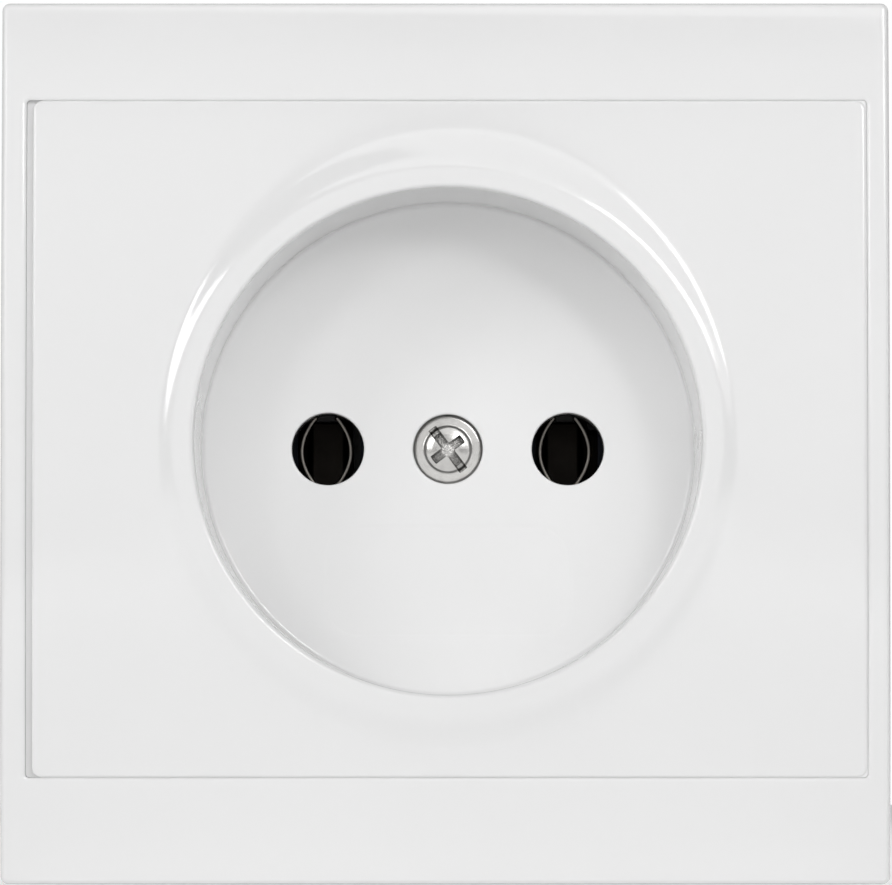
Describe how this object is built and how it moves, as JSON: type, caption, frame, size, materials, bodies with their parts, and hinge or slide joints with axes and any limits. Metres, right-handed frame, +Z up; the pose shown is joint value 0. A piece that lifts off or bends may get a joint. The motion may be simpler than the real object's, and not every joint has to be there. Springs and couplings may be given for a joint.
{
  "type": "wall socket",
  "caption": "Flush-mounted two-pin wall socket without earth: square surround, bowed insert plate with round recess and collar, strap, base, spring contacts and screw terminals.",
  "frame": {"origin": "on the axis of the round recess, midway between the pin holes, in the plane of the wall, which is the back face of the mounting strap and of the surround", "axes": "+X to the right as seen from the room, +Y into the wall, +Z up; the face looks along -Y"},
  "size_m": [0.0688, 0.0345, 0.0682],
  "materials": {
    "white_plastic": "glossy moulded white thermoplastic",
    "black_plastic": "satin moulded black thermoplastic",
    "zinc_steel": "zinc plated steel",
    "nickel_steel": "bright nickel plated steel",
    "bronze": "phosphor bronze sheet",
    "brass": "machined brass"
  },
  "bodies": {
    "root": {"socket_cover": "white_plastic", "surround_frame": "white_plastic", "mounting_strap": "zinc_steel", "base_housing": "black_plastic", "contact_guide": "black_plastic", "contact_left": "bronze", "contact_right": "bronze", "contact_spring_left": "zinc_steel", "contact_spring_right": "zinc_steel", "terminal_block_left": "brass", "terminal_block_right": "brass", "terminal_screw_left_upper": "zinc_steel", "terminal_screw_left_lower": "zinc_steel", "terminal_screw_right_upper": "zinc_steel", "terminal_screw_right_lower": "zinc_steel", "strap_screw_upper_left": "zinc_steel", "strap_screw_upper_right": "zinc_steel", "strap_screw_lower_left": "zinc_steel", "strap_screw_lower_right": "zinc_steel", "cover_screw": "nickel_steel", "centre_insert": "brass"}
  },
  "joints": []
}
